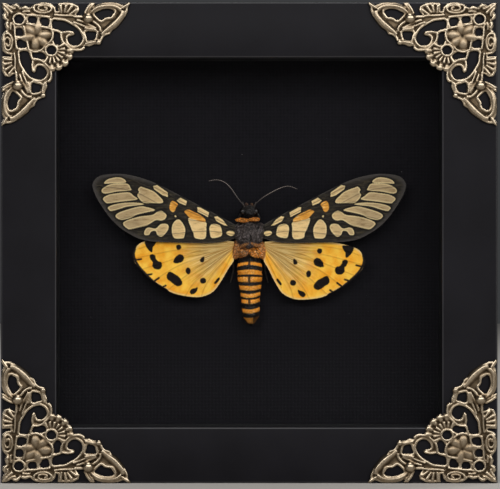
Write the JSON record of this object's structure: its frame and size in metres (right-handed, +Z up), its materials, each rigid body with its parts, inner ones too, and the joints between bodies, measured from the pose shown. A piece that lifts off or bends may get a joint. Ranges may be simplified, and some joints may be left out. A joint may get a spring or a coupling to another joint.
{
  "type": "framed tiger moth",
  "caption": "Square shadow-box frame with filigree corners, glazed over a spread tiger moth pinned to a cloth-covered backing board.",
  "frame": {"origin": "middle of the bottom rail's underside, halfway through the moulding's depth", "axes": "+Z up the frame, -Y out of its glazed front, +X to the viewer's right"},
  "size_m": [0.14, 0.0359, 0.1352],
  "materials": {
    "black_paint": "satin black paint on wood moulding",
    "glass": "clear picture glass",
    "black_board": "matte black mount board",
    "black_cloth": "board covered with bonded black book cloth",
    "hardboard": "black-faced hardboard",
    "zinc_steel": "bright zinc plate",
    "antique_brass": "antique brass with dark patina in the hollows",
    "forewing_scales": "matte scales, black with cream windows",
    "hindwing_scales": "matte scales, orange-yellow with black spots",
    "dark_fur": "dense dark grey hair scales",
    "banded_fur": "short hair scales in orange and black bands",
    "cuticle": "dark brown cuticle",
    "pin_steel": "bright steel"
  },
  "bodies": {
    "root": {"bottom_rail": "black_paint", "top_rail": "black_paint", "left_rail": "black_paint", "right_rail": "black_paint", "glass_pane": "glass", "bottom_spacer": "black_board", "top_spacer": "black_board", "left_spacer": "black_board", "right_spacer": "black_board", "backing_board": "black_cloth", "back_panel": "hardboard", "bottom_retaining_tab_1": "zinc_steel", "bottom_retaining_tab_2": "zinc_steel", "bottom_retaining_tab_3": "zinc_steel", "top_retaining_tab_1": "zinc_steel", "top_retaining_tab_2": "zinc_steel", "top_retaining_tab_3": "zinc_steel", "sawtooth_hanger": "zinc_steel", "left_hanger_nail": "zinc_steel", "right_hanger_nail": "zinc_steel", "top_left_filigree": "antique_brass", "top_right_filigree": "antique_brass", "bottom_left_filigree": "antique_brass", "bottom_right_filigree": "antique_brass", "left_forewing": "forewing_scales", "right_forewing": "forewing_scales", "left_hindwing": "hindwing_scales", "right_hindwing": "hindwing_scales", "head": "dark_fur", "thorax": "dark_fur", "abdomen": "banded_fur", "left_antenna": "cuticle", "right_antenna": "cuticle", "left_foreleg": "cuticle", "right_foreleg": "cuticle", "left_midleg": "cuticle", "right_midleg": "cuticle", "left_hindleg": "cuticle", "right_hindleg": "cuticle", "mounting_pin": "pin_steel"}
  },
  "joints": []
}
